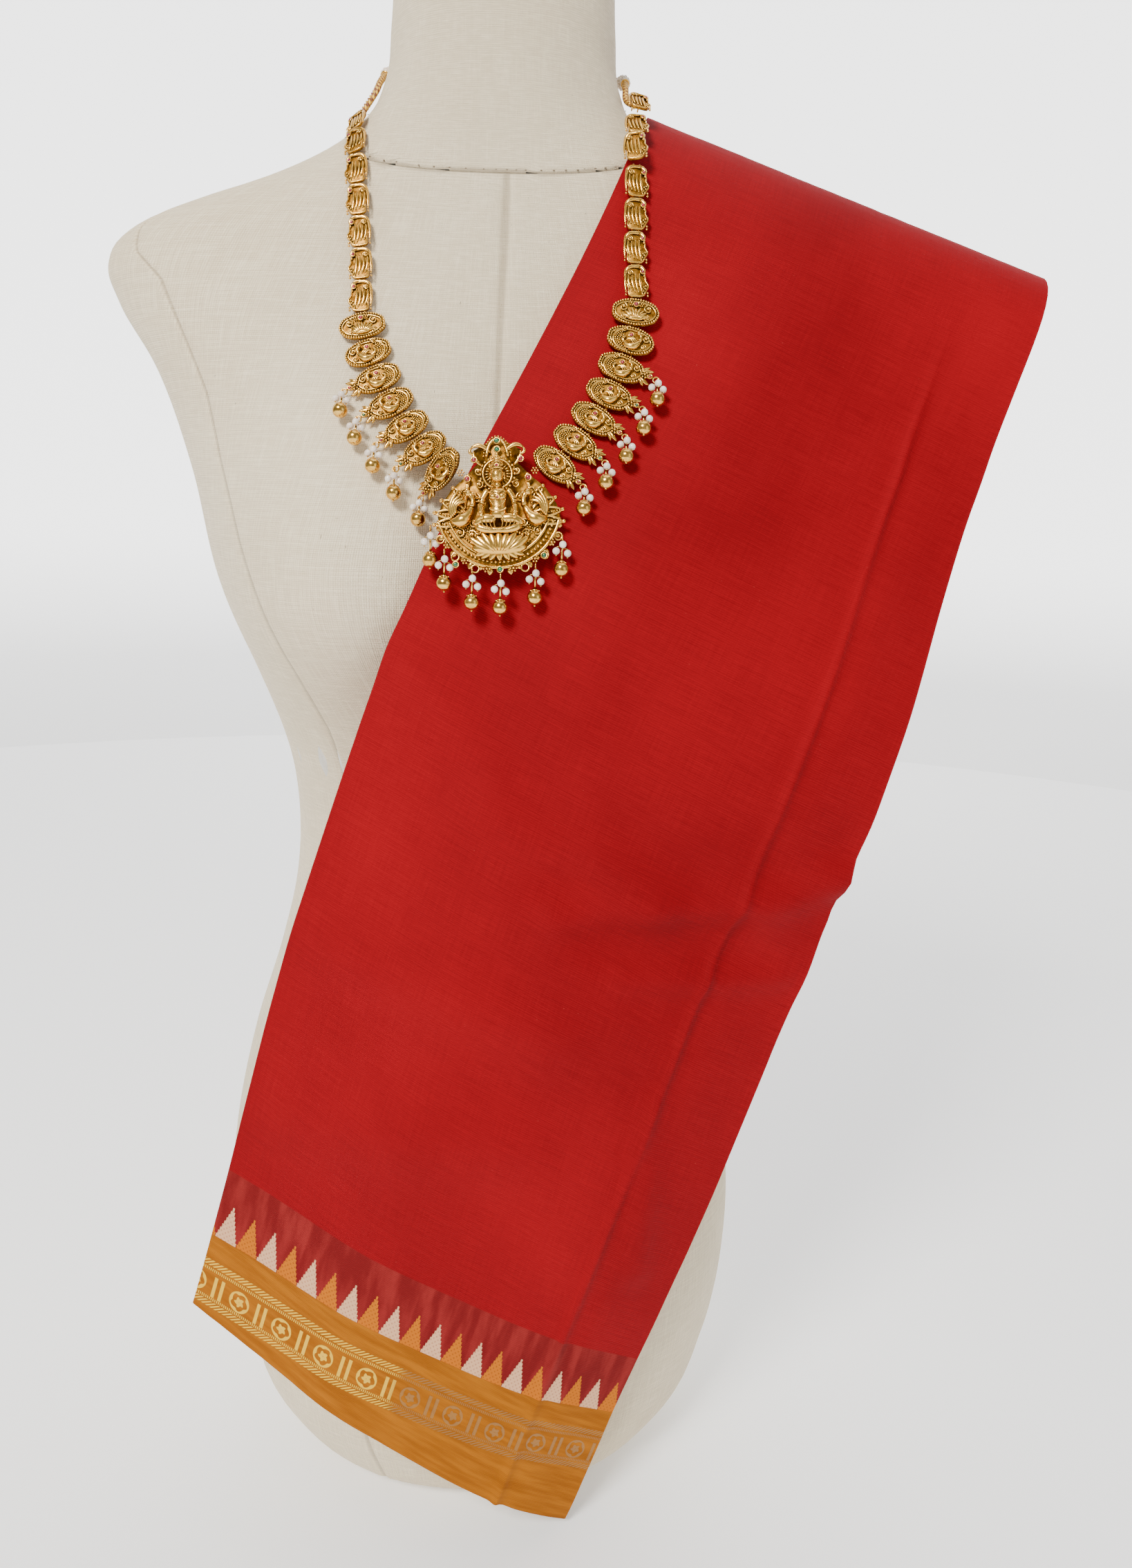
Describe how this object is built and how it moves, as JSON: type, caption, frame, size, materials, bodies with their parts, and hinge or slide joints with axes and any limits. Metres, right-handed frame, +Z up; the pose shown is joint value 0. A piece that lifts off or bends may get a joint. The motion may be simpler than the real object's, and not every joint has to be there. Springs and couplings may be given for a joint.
{
  "type": "dressed display torso",
  "caption": "Linen display torso that stands on its base, dressed with a folded red saree over one shoulder and a hinged gold temple necklace with a pendant and hanging drops.",
  "frame": {"origin": "middle of the base plate's flat underside, where the form rests on a counter", "axes": "+Z up along the form, +X to the viewer's right (the side that carries the saree), the form looks along -Y"},
  "size_m": [0.4623, 0.2677, 0.8124],
  "materials": {
    "antique_gold": "antique gold plating, darker in the recesses",
    "gold_thread": "twisted gold and brown thread",
    "linen": "plain-woven undyed linen with slubs",
    "moulded_shell": "matte moulded shell",
    "pearl": "pearly white",
    "plywood": "plain sanded plywood",
    "saree_cotton": "handloom cotton with fine ribs and a woven border"
  },
  "bodies": {
    "torso": {"form_shell": "moulded_shell", "linen_body_cover": "linen", "linen_neck_cover": "linen", "base_plate": "plywood", "neck_cap": "linen", "saree_folded": "saree_cotton", "neck_cord": "gold_thread", "left_cord_bead": "pearl", "right_cord_bead": "pearl"},
    "left_link_1": {"left_link_1": "antique_gold"},
    "left_link_2": {"left_link_2": "antique_gold"},
    "left_link_3": {"left_link_3": "antique_gold"},
    "left_link_4": {"left_link_4": "antique_gold"},
    "left_link_5": {"left_link_5": "antique_gold"},
    "left_link_6": {"left_link_6": "antique_gold"},
    "left_link_7": {"left_link_7": "antique_gold"},
    "left_medallion_1": {"left_medallion_1": "antique_gold"},
    "left_medallion_2": {"left_medallion_2": "antique_gold"},
    "left_medallion_3": {"left_medallion_3": "antique_gold"},
    "left_medallion_4": {"left_medallion_4": "antique_gold"},
    "left_medallion_5": {"left_medallion_5": "antique_gold"},
    "left_medallion_6": {"left_medallion_6": "antique_gold"},
    "left_medallion_7": {"left_medallion_7": "antique_gold"},
    "right_link_1": {"right_link_1": "antique_gold"},
    "right_link_2": {"right_link_2": "antique_gold"},
    "right_link_3": {"right_link_3": "antique_gold"},
    "right_link_4": {"right_link_4": "antique_gold"},
    "right_link_5": {"right_link_5": "antique_gold"},
    "right_link_6": {"right_link_6": "antique_gold"},
    "right_link_7": {"right_link_7": "antique_gold"},
    "right_medallion_1": {"right_medallion_1": "antique_gold"},
    "right_medallion_2": {"right_medallion_2": "antique_gold"},
    "right_medallion_3": {"right_medallion_3": "antique_gold"},
    "right_medallion_4": {"right_medallion_4": "antique_gold"},
    "right_medallion_5": {"right_medallion_5": "antique_gold"},
    "right_medallion_6": {"right_medallion_6": "antique_gold"},
    "right_medallion_7": {"right_medallion_7": "antique_gold"},
    "pendant": {"pendant_plate": "antique_gold", "pendant_figure": "antique_gold"},
    "left_drop_1": {"left_drop_1": "antique_gold"},
    "left_drop_2": {"left_drop_2": "antique_gold"},
    "left_drop_3": {"left_drop_3": "antique_gold"},
    "left_drop_4": {"left_drop_4": "antique_gold"},
    "left_drop_5": {"left_drop_5": "antique_gold"},
    "pendant_drop_1": {"pendant_drop_1": "antique_gold"},
    "pendant_drop_2": {"pendant_drop_2": "antique_gold"},
    "pendant_drop_3": {"pendant_drop_3": "antique_gold"},
    "pendant_drop_4": {"pendant_drop_4": "antique_gold"},
    "pendant_drop_5": {"pendant_drop_5": "antique_gold"},
    "pendant_drop_6": {"pendant_drop_6": "antique_gold"},
    "right_drop_1": {"right_drop_1": "antique_gold"},
    "right_drop_2": {"right_drop_2": "antique_gold"},
    "right_drop_3": {"right_drop_3": "antique_gold"},
    "right_drop_4": {"right_drop_4": "antique_gold"},
    "right_drop_5": {"right_drop_5": "antique_gold"},
    "cord_slider": {"cord_slider": "gold_thread"}
  },
  "joints": [
    {"name": "left_link_1_fold", "type": "hinge", "parent": "torso", "child": "left_link_1", "pos_m": [-0.06471, -0.026, 0.70991], "axis": [-0.9981, 0, -0.061], "range_deg": [0, 10]},
    {"name": "left_link_2_fold", "type": "hinge", "parent": "left_link_1", "child": "left_link_2", "pos_m": [-0.06368, -0.03834, 0.7002], "axis": [-0.9979, 0.0068, -0.0652], "range_deg": [0, 10]},
    {"name": "left_link_3_fold", "type": "hinge", "parent": "left_link_2", "child": "left_link_3", "pos_m": [-0.0624, -0.04833, 0.68819], "axis": [-0.9967, 0.0227, -0.0776], "range_deg": [0, 10]},
    {"name": "left_link_4_fold", "type": "hinge", "parent": "left_link_3", "child": "left_link_4", "pos_m": [-0.06089, -0.05519, 0.67412], "axis": [-0.996, 0.036, -0.0819], "range_deg": [0, 10]},
    {"name": "left_link_5_fold", "type": "hinge", "parent": "left_link_4", "child": "left_link_5", "pos_m": [-0.05925, -0.06119, 0.65966], "axis": [-0.9961, 0.0385, -0.0798], "range_deg": [0, 10]},
    {"name": "left_link_6_fold", "type": "hinge", "parent": "left_link_5", "child": "left_link_6", "pos_m": [-0.05756, -0.06719, 0.6452], "axis": [-0.9962, 0.0407, -0.0774], "range_deg": [0, 10]},
    {"name": "left_link_7_fold", "type": "hinge", "parent": "left_link_6", "child": "left_link_7", "pos_m": [-0.05605, -0.07318, 0.63072], "axis": [-0.9963, 0.0427, -0.0748], "range_deg": [0, 10]},
    {"name": "left_medallion_1_fold", "type": "hinge", "parent": "left_link_7", "child": "left_medallion_1", "pos_m": [-0.05531, -0.07918, 0.61619], "axis": [-0.9964, 0.0442, -0.0721], "range_deg": [0, 10]},
    {"name": "left_medallion_2_fold", "type": "hinge", "parent": "left_medallion_1", "child": "left_medallion_2", "pos_m": [-0.05294, -0.08418, 0.6043], "axis": [-0.9965, 0.0467, -0.0698], "range_deg": [0, 10]},
    {"name": "left_medallion_3_fold", "type": "hinge", "parent": "left_medallion_2", "child": "left_medallion_3", "pos_m": [-0.04855, -0.08919, 0.59298], "axis": [-0.9964, 0.0513, -0.0678], "range_deg": [0, 10]},
    {"name": "left_medallion_4_fold", "type": "hinge", "parent": "left_medallion_3", "child": "left_medallion_4", "pos_m": [-0.04285, -0.09394, 0.58214], "axis": [-0.9959, 0.0605, -0.0665], "range_deg": [0, 10]},
    {"name": "left_medallion_5_fold", "type": "hinge", "parent": "left_medallion_4", "child": "left_medallion_5", "pos_m": [-0.03594, -0.09843, 0.57191], "axis": [-0.9949, 0.0768, -0.0662], "range_deg": [0, 10]},
    {"name": "left_medallion_6_fold", "type": "hinge", "parent": "left_medallion_5", "child": "left_medallion_6", "pos_m": [-0.02787, -0.10293, 0.56258], "axis": [-0.9928, 0.1005, -0.0655], "range_deg": [0, 10]},
    {"name": "left_medallion_7_fold", "type": "hinge", "parent": "left_medallion_6", "child": "left_medallion_7", "pos_m": [-0.01897, -0.10742, 0.55401], "axis": [-0.9884, 0.1376, -0.064], "range_deg": [0, 10]},
    {"name": "pendant_fold", "type": "hinge", "parent": "left_medallion_7", "child": "pendant", "pos_m": [-0.0096, -0.11191, 0.54597], "axis": [-0.9772, 0.204, -0.0598], "range_deg": [0, 20]},
    {"name": "right_link_1_fold", "type": "hinge", "parent": "torso", "child": "right_link_1", "pos_m": [0.06305, -0.026, 0.71773], "axis": [-0.9981, 0, -0.061], "range_deg": [0, 10]},
    {"name": "right_link_2_fold", "type": "hinge", "parent": "right_link_1", "child": "right_link_2", "pos_m": [0.0632, -0.0392, 0.70849], "axis": [-0.9979, 0.0068, -0.0652], "range_deg": [0, 10]},
    {"name": "right_link_3_fold", "type": "hinge", "parent": "right_link_2", "child": "right_link_3", "pos_m": [0.06337, -0.0512, 0.69798], "axis": [-0.9967, 0.0227, -0.0776], "range_deg": [0, 10]},
    {"name": "right_link_4_fold", "type": "hinge", "parent": "right_link_3", "child": "right_link_4", "pos_m": [0.06358, -0.05969, 0.68436], "axis": [-0.996, 0.036, -0.0819], "range_deg": [0, 10]},
    {"name": "right_link_5_fold", "type": "hinge", "parent": "right_link_4", "child": "right_link_5", "pos_m": [0.06374, -0.06595, 0.66951], "axis": [-0.9961, 0.0385, -0.0798], "range_deg": [0, 10]},
    {"name": "right_link_6_fold", "type": "hinge", "parent": "right_link_5", "child": "right_link_6", "pos_m": [0.06382, -0.07214, 0.65463], "axis": [-0.9962, 0.0407, -0.0774], "range_deg": [0, 10]},
    {"name": "right_link_7_fold", "type": "hinge", "parent": "right_link_6", "child": "right_link_7", "pos_m": [0.06405, -0.07833, 0.63975], "axis": [-0.9963, 0.0427, -0.0748], "range_deg": [0, 10]},
    {"name": "right_medallion_1_fold", "type": "hinge", "parent": "right_link_7", "child": "right_medallion_1", "pos_m": [0.06508, -0.08452, 0.62491], "axis": [-0.9964, 0.0442, -0.0721], "range_deg": [0, 10]},
    {"name": "right_medallion_2_fold", "type": "hinge", "parent": "right_medallion_1", "child": "right_medallion_2", "pos_m": [0.06443, -0.08969, 0.61253], "axis": [-0.9965, 0.0467, -0.0698], "range_deg": [0, 10]},
    {"name": "right_medallion_3_fold", "type": "hinge", "parent": "right_medallion_2", "child": "right_medallion_3", "pos_m": [0.0615, -0.09485, 0.60047], "axis": [-0.9964, 0.0513, -0.0678], "range_deg": [0, 10]},
    {"name": "right_medallion_4_fold", "type": "hinge", "parent": "right_medallion_3", "child": "right_medallion_4", "pos_m": [0.05718, -0.10002, 0.58883], "axis": [-0.9959, 0.0605, -0.0665], "range_deg": [0, 10]},
    {"name": "right_medallion_5_fold", "type": "hinge", "parent": "right_medallion_4", "child": "right_medallion_5", "pos_m": [0.0516, -0.10519, 0.57773], "axis": [-0.9949, 0.0768, -0.0662], "range_deg": [0, 10]},
    {"name": "right_medallion_6_fold", "type": "hinge", "parent": "right_medallion_5", "child": "right_medallion_6", "pos_m": [0.04471, -0.11027, 0.56736], "axis": [-0.9928, 0.1005, -0.0655], "range_deg": [0, 10]},
    {"name": "right_medallion_7_fold", "type": "hinge", "parent": "right_medallion_6", "child": "right_medallion_7", "pos_m": [0.03684, -0.11519, 0.55763], "axis": [-0.9884, 0.1376, -0.064], "range_deg": [0, 10]},
    {"name": "left_drop_1_swing", "type": "hinge", "parent": "left_medallion_3", "child": "left_drop_1", "pos_m": [-0.06059, -0.09551, 0.58146], "axis": [-1, 0, 0], "range_deg": [0, 50]},
    {"name": "left_drop_2_swing", "type": "hinge", "parent": "left_medallion_4", "child": "left_drop_2", "pos_m": [-0.0534, -0.10138, 0.56986], "axis": [-1, 0, 0], "range_deg": [0, 50]},
    {"name": "left_drop_3_swing", "type": "hinge", "parent": "left_medallion_5", "child": "left_drop_3", "pos_m": [-0.04487, -0.10693, 0.55904], "axis": [-1, 0, 0], "range_deg": [0, 50]},
    {"name": "left_drop_4_swing", "type": "hinge", "parent": "left_medallion_6", "child": "left_drop_4", "pos_m": [-0.03554, -0.11194, 0.54925], "axis": [-1, 0, 0], "range_deg": [0, 50]},
    {"name": "left_drop_5_swing", "type": "hinge", "parent": "left_medallion_7", "child": "left_drop_5", "pos_m": [-0.02506, -0.1091, 0.53712], "axis": [-1, 0, 0], "range_deg": [0, 50]},
    {"name": "pendant_drop_1_swing", "type": "hinge", "parent": "pendant", "child": "pendant_drop_1", "pos_m": [-0.01779, -0.13079, 0.52588], "axis": [-1, 0, 0], "range_deg": [0, 50]},
    {"name": "pendant_drop_2_swing", "type": "hinge", "parent": "pendant", "child": "pendant_drop_2", "pos_m": [-0.01162, -0.13337, 0.51659], "axis": [-1, 0, 0], "range_deg": [0, 50]},
    {"name": "pendant_drop_3_swing", "type": "hinge", "parent": "pendant", "child": "pendant_drop_3", "pos_m": [0.00015, -0.1354, 0.50927], "axis": [-1, 0, 0], "range_deg": [0, 50]},
    {"name": "pendant_drop_4_swing", "type": "hinge", "parent": "pendant", "child": "pendant_drop_4", "pos_m": [0.012, -0.13584, 0.50769], "axis": [-1, 0, 0], "range_deg": [0, 50]},
    {"name": "pendant_drop_5_swing", "type": "hinge", "parent": "pendant", "child": "pendant_drop_5", "pos_m": [0.02627, -0.13459, 0.51219], "axis": [-1, 0, 0], "range_deg": [0, 50]},
    {"name": "pendant_drop_6_swing", "type": "hinge", "parent": "pendant", "child": "pendant_drop_6", "pos_m": [0.03698, -0.1314, 0.5237], "axis": [-1, 0, 0], "range_deg": [0, 50]},
    {"name": "right_drop_1_swing", "type": "hinge", "parent": "right_medallion_3", "child": "right_drop_1", "pos_m": [0.07501, -0.10036, 0.59013], "axis": [-1, 0, 0], "range_deg": [0, 50]},
    {"name": "right_drop_2_swing", "type": "hinge", "parent": "right_medallion_4", "child": "right_drop_2", "pos_m": [0.06943, -0.10644, 0.57749], "axis": [-1, 0, 0], "range_deg": [0, 50]},
    {"name": "right_drop_3_swing", "type": "hinge", "parent": "right_medallion_5", "child": "right_drop_3", "pos_m": [0.06235, -0.11245, 0.56543], "axis": [-1, 0, 0], "range_deg": [0, 50]},
    {"name": "right_drop_4_swing", "type": "hinge", "parent": "right_medallion_6", "child": "right_drop_4", "pos_m": [0.05418, -0.1181, 0.55437], "axis": [-1, 0, 0], "range_deg": [0, 50]},
    {"name": "right_drop_5_swing", "type": "hinge", "parent": "right_medallion_7", "child": "right_drop_5", "pos_m": [0.04539, -0.12319, 0.54412], "axis": [-1, 0, 0], "range_deg": [0, 50]},
    {"name": "cord_slider_slide", "type": "slide", "parent": "torso", "child": "cord_slider", "axis": [1, 0, 0], "range_m": [-0.009, 0.009]}
  ],
  "couplings": [
    {"joint": "right_link_1_fold", "follows": "left_link_1_fold", "ratio": 1},
    {"joint": "right_link_2_fold", "follows": "left_link_2_fold", "ratio": 1},
    {"joint": "right_link_3_fold", "follows": "left_link_3_fold", "ratio": 1},
    {"joint": "right_link_4_fold", "follows": "left_link_4_fold", "ratio": 1},
    {"joint": "right_link_5_fold", "follows": "left_link_5_fold", "ratio": 1},
    {"joint": "right_link_6_fold", "follows": "left_link_6_fold", "ratio": 1},
    {"joint": "right_link_7_fold", "follows": "left_link_7_fold", "ratio": 1},
    {"joint": "right_medallion_1_fold", "follows": "left_medallion_1_fold", "ratio": 1},
    {"joint": "right_medallion_2_fold", "follows": "left_medallion_2_fold", "ratio": 1},
    {"joint": "right_medallion_3_fold", "follows": "left_medallion_3_fold", "ratio": 1},
    {"joint": "right_medallion_4_fold", "follows": "left_medallion_4_fold", "ratio": 1},
    {"joint": "right_medallion_5_fold", "follows": "left_medallion_5_fold", "ratio": 1},
    {"joint": "right_medallion_6_fold", "follows": "left_medallion_6_fold", "ratio": 1},
    {"joint": "right_medallion_7_fold", "follows": "left_medallion_7_fold", "ratio": 1}
  ]
}
